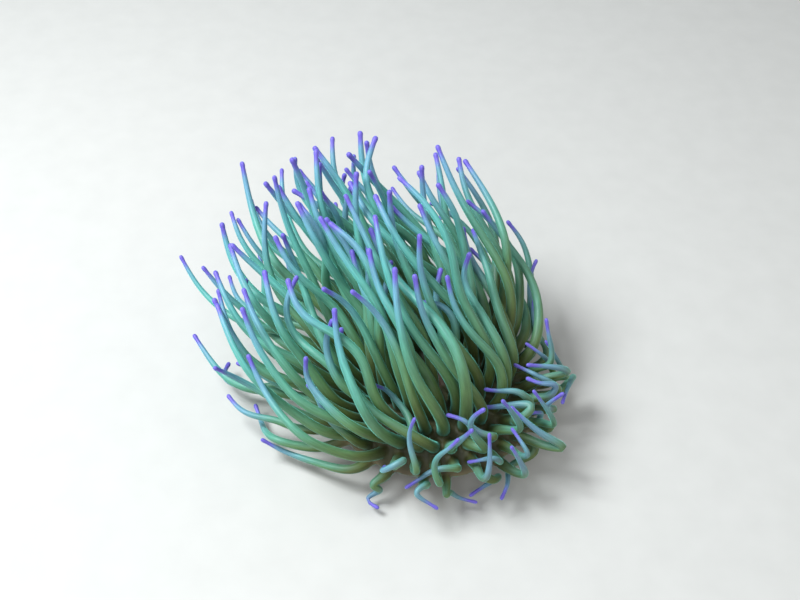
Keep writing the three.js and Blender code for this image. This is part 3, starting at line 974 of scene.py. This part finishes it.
# Painted light: the shaft is mixed up to 0.45 of the way to teal on faces that look up and to the left.
facing = flesh.node("ShaderNodeNewGeometry", out="Normal")
painted_light_facing = flesh.node(
    "ShaderNodeVectorMath", {"operation": "DOT_PRODUCT"}, {0: facing, 1: PAINTED_LIGHT_WAY}, out="Value",
)
shaft = flesh.mix(flesh.step(painted_light_facing, 0.1, 1.0) * flesh.step(along, 0.02, 0.4) * 0.45, shaft, TEAL)
to_tip = reach / (along + 0.001) - reach
beyond = flesh.step(along, 0.35, 0.6)
lilac = flesh.step(to_tip + (tone - 0.5) * 14.0, *LILAC_FROM_TIP) * beyond * 0.62
violet = flesh.step(to_tip + (streaks - 0.5) * 5.0, *VIOLET_FROM_TIP) * beyond
shaft = flesh.mix(lilac, shaft, LILAC)
shaft = flesh.mix(violet, shaft, VIOLET)
shade = flesh.node("ShaderNodeValToRGB", {"stops": [
    (0.3, (0.62, 0.62, 0.62, 1)), (0.7, (1.25, 1.25, 1.25, 1)),
]}, {0: streaks})
shaft = flesh.mix(0.6, shaft, shade, "MULTIPLY")

# %% Colours of foot, column, margin and mouth
wall = flesh.node("ShaderNodeValToRGB", {"stops": [(0.35, BARK), (0.65, SAND)]}, {0: blotches})
# Painted shade: the body above the column, under the crown, is dark moss olive, partly its own colour
# and partly the shade of the tentacles.
wall = flesh.mix(flesh.step(level, 0.013, 0.021), wall, MOSS_AND_MARGIN_SHADE)
level_place = flesh.node(
    "ShaderNodeVectorMath", {"operation": "MULTIPLY"}, {0: place, 1: (1.0, 1.0, 0.0)},
)
from_mouth = flesh.node("ShaderNodeVectorMath", {"operation": "LENGTH"}, {0: level_place}, out="Value")
wall = flesh.mix(flesh.step(from_mouth, 0.009, 0.005) * flesh.step(level, 0.02, 0.028), wall, LIP)

# %% All of it on the skin
base = flesh.mix(flesh.step(reach, -2.0, 7.0), wall, shaft)
flesh.coat("Base Color", base)
flesh.coat("Roughness", 0.38 + grain * 0.2)
flesh.coat("Normal", flesh.node("ShaderNodeBump", {}, {
    "Strength": 0.35, "Distance": 0.0003, "Height": grain * 0.4 + streaks,
}))
skin.data.materials.clear()
skin.data.materials.append(flesh.material)
print("the flesh has", len(flesh.tree.nodes), "nodes")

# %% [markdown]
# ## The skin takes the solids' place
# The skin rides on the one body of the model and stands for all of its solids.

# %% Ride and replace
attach(skin, "root")
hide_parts(*sorted(frame["nodes"]))

# %% [markdown]
# ## Studio
# A plain pale floor and three soft square lights: the key high on the left, a weaker one
# on the right, and one in front, low enough to leave the shade between the tentacles. A
# pale sky fills the rest.

# %% Floor and lights
bpy.ops.object.select_all(action="DESELECT")
bpy.ops.mesh.primitive_plane_add(size=6.0, location=(0, 0, 0))
floor = bpy.context.object
floor.name = "floor"
paper = Finish("pale_paper", Roughness=0.9)
speck = paper.noise(paper.node("ShaderNodeTexCoord", out="Object"), 60.0)
paper.coat("Base Color", paper.mix(speck, colour(198, 197, 194), colour(206, 205, 202)))
floor.data.materials.append(paper.material)

LIT_POINT = [-0.02, 0.03, 0.05]  # in metres, in the middle of the crown


def soft_light(name, place, size, power, tint):
    """A square light of a size in metres and a power in watts, turned to the crown."""
    bpy.ops.object.light_add(type="AREA", location=place)
    light = bpy.context.object
    light.name = name
    aim = np.array(LIT_POINT) - np.array(place)
    turn = math.atan2(aim[1], aim[0]) - math.pi / 2
    tilt = math.acos(-aim[2] / np.linalg.norm(aim))
    light.rotation_euler = (tilt, 0, turn)
    light.data.shape = "SQUARE"
    light.data.size = size
    light.data.energy = power
    light.data.color = tint


soft_light("key", (-0.55, 0.0, 0.92), 0.4, 14.5, (0.93, 0.98, 1.0))
soft_light("fill", (0.9, -0.2, 0.6), 0.8, 1.6, (1.0, 0.97, 0.93))
soft_light("front", (-0.1, -0.9, 0.8), 0.7, 3.6, (0.96, 0.98, 1.0))
world = bpy.data.worlds.new("studio")
bpy.context.scene.world = world
world.use_nodes = True
sky = world.node_tree.nodes["Background"]
sky.inputs["Color"].default_value = (0.9, 0.94, 0.97, 1.0)
sky.inputs["Strength"].default_value = 0.32
bpy.context.scene.view_settings.view_transform = "Standard"
